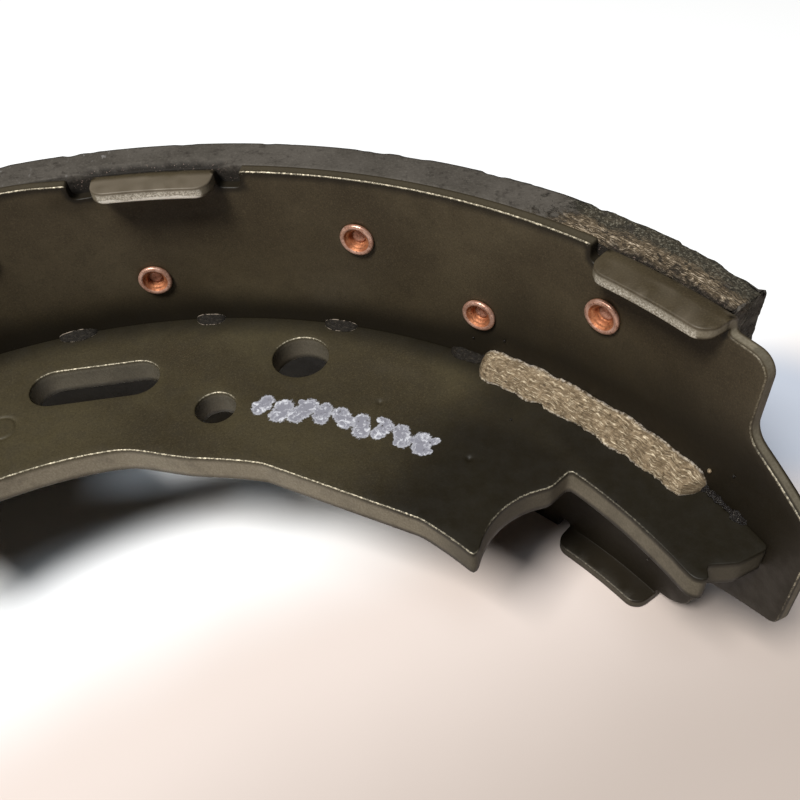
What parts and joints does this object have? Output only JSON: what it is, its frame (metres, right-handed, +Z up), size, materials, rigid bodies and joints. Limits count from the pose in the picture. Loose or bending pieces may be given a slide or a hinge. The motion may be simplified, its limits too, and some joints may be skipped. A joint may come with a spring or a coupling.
{
  "type": "drum brake shoe",
  "caption": "Riveted drum brake shoe for a light truck: curved steel table with folded tabs, welded web plate with holes and hooks, and a friction lining riveted to the outside.",
  "frame": {"origin": "middle of the footprint, on the ground, with the shoe lying on its side", "axes": "+X along the chord between the shoe's ends, +Y towards the crown of the lining, +Z up, parallel to the drum's axis"},
  "size_m": [0.2768, 0.1037, 0.1],
  "materials": {
    "web_steel": "satin dark olive-brown coating over sheared steel",
    "table_steel": "satin dark olive-brown coating, worn bright on its edges",
    "friction_material": "matte moulded friction material, brown and fibrous where broken",
    "rivet_copper": "bright copper, rolled",
    "weld_metal": "rough as-welded bead with pale scale"
  },
  "bodies": {
    "root": {"web_plate": "web_steel", "shoe_table": "table_steel", "friction_lining": "friction_material", "rivet_upper_1": "rivet_copper", "rivet_upper_2": "rivet_copper", "rivet_upper_3": "rivet_copper", "rivet_upper_4": "rivet_copper", "rivet_upper_5": "rivet_copper", "rivet_upper_6": "rivet_copper", "rivet_upper_7": "rivet_copper", "rivet_lower_1": "rivet_copper", "rivet_lower_2": "rivet_copper", "rivet_lower_3": "rivet_copper", "rivet_lower_4": "rivet_copper", "rivet_lower_5": "rivet_copper", "rivet_lower_6": "rivet_copper", "rivet_lower_7": "rivet_copper", "fillet_weld_upper_right": "weld_metal", "fillet_weld_upper_left": "weld_metal", "fillet_weld_lower_right": "weld_metal", "fillet_weld_lower_left": "weld_metal", "spot_weld_upper_1": "weld_metal", "spot_weld_upper_2": "weld_metal", "spot_weld_upper_3": "weld_metal", "spot_weld_upper_4": "weld_metal", "spot_weld_upper_5": "weld_metal", "spot_weld_lower_1": "weld_metal", "spot_weld_lower_2": "weld_metal", "spot_weld_lower_3": "weld_metal", "spot_weld_lower_4": "weld_metal", "spot_weld_lower_5": "weld_metal"}
  },
  "joints": []
}
